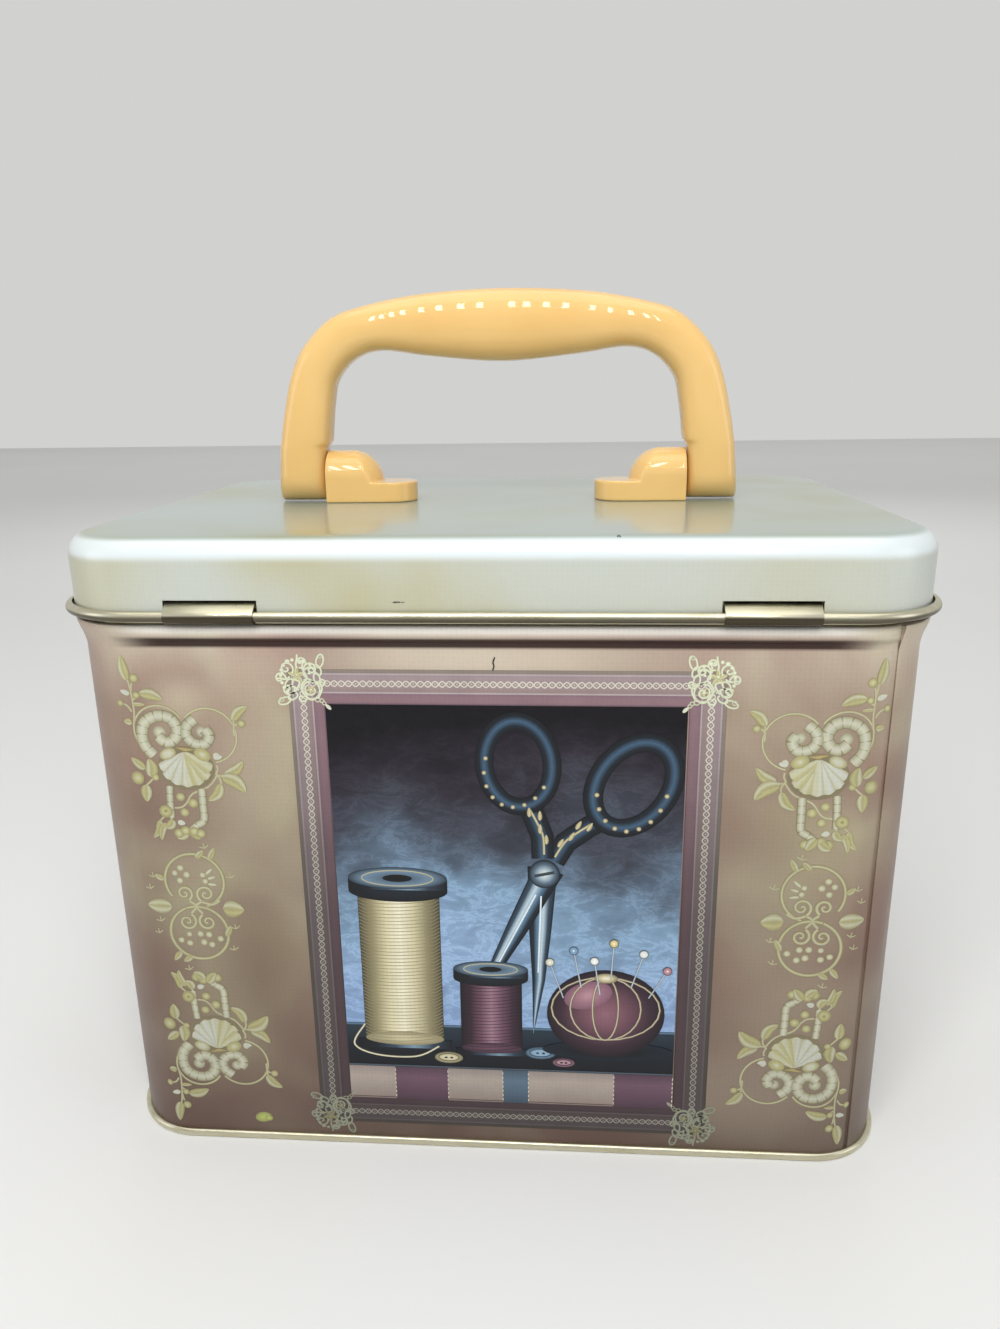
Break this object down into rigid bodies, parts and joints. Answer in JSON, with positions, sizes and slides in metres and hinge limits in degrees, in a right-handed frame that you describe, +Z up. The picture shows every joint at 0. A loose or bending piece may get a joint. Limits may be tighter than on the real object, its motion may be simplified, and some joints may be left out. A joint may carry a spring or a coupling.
{
  "type": "sewing tin",
  "caption": "Rounded rectangular printed tin with a hinged drawn lid, strap hinges, a snap clasp and a folding moulded carry handle on the lid.",
  "frame": {"origin": "bottom centre of the tin, on the surface it stands on", "axes": "+Z up; +X along the longer side, to the right as seen from the hinge side; the hinges are on the -Y side and the clasp is on the +Y side"},
  "size_m": [0.2042, 0.1477, 0.2148],
  "materials": {
    "printed_rose_tinplate": "satin printed lacquer",
    "printed_ivory_tinplate": "satin printed lacquer",
    "gold_lacquered_tinplate": "clear gold lacquer",
    "peach_plastic": "glossy moulded",
    "zinc_steel": "zinc plated"
  },
  "bodies": {
    "box": {"box_wall": "printed_rose_tinplate", "base_panel": "gold_lacquered_tinplate", "hinge_strap_left": "gold_lacquered_tinplate", "hinge_strap_right": "gold_lacquered_tinplate", "clasp_catch": "gold_lacquered_tinplate", "catch_rivet_left": "zinc_steel", "catch_rivet_right": "zinc_steel"},
    "lid": {"lid": "printed_ivory_tinplate", "handle_foot_left": "peach_plastic", "handle_foot_right": "peach_plastic", "pivot_pin_left": "zinc_steel", "pivot_pin_right": "zinc_steel", "foot_screw_left_outer": "zinc_steel", "foot_screw_left_inner": "zinc_steel", "foot_screw_right_inner": "zinc_steel", "foot_screw_right_outer": "zinc_steel", "washer_left_outer": "zinc_steel", "washer_left_inner": "zinc_steel", "washer_right_inner": "zinc_steel", "washer_right_outer": "zinc_steel"},
    "handle": {"carry_handle": "peach_plastic"},
    "clasp": {"clasp_leaf": "gold_lacquered_tinplate"}
  },
  "joints": [
    {"name": "lid_hinge", "type": "hinge", "parent": "box", "child": "lid", "pos_m": [0, -0.07137, 0.14185], "axis": [1, 0, 0], "range_deg": [0, 110]},
    {"name": "handle_fold", "type": "hinge", "parent": "lid", "child": "handle", "pos_m": [0, 0, 0.16605], "axis": [1, 0, 0], "range_deg": [-88, 88]},
    {"name": "clasp_swing", "type": "hinge", "parent": "lid", "child": "clasp", "pos_m": [0, 0.07137, 0.14185], "axis": [1, 0, 0], "range_deg": [-6, 110]}
  ]
}
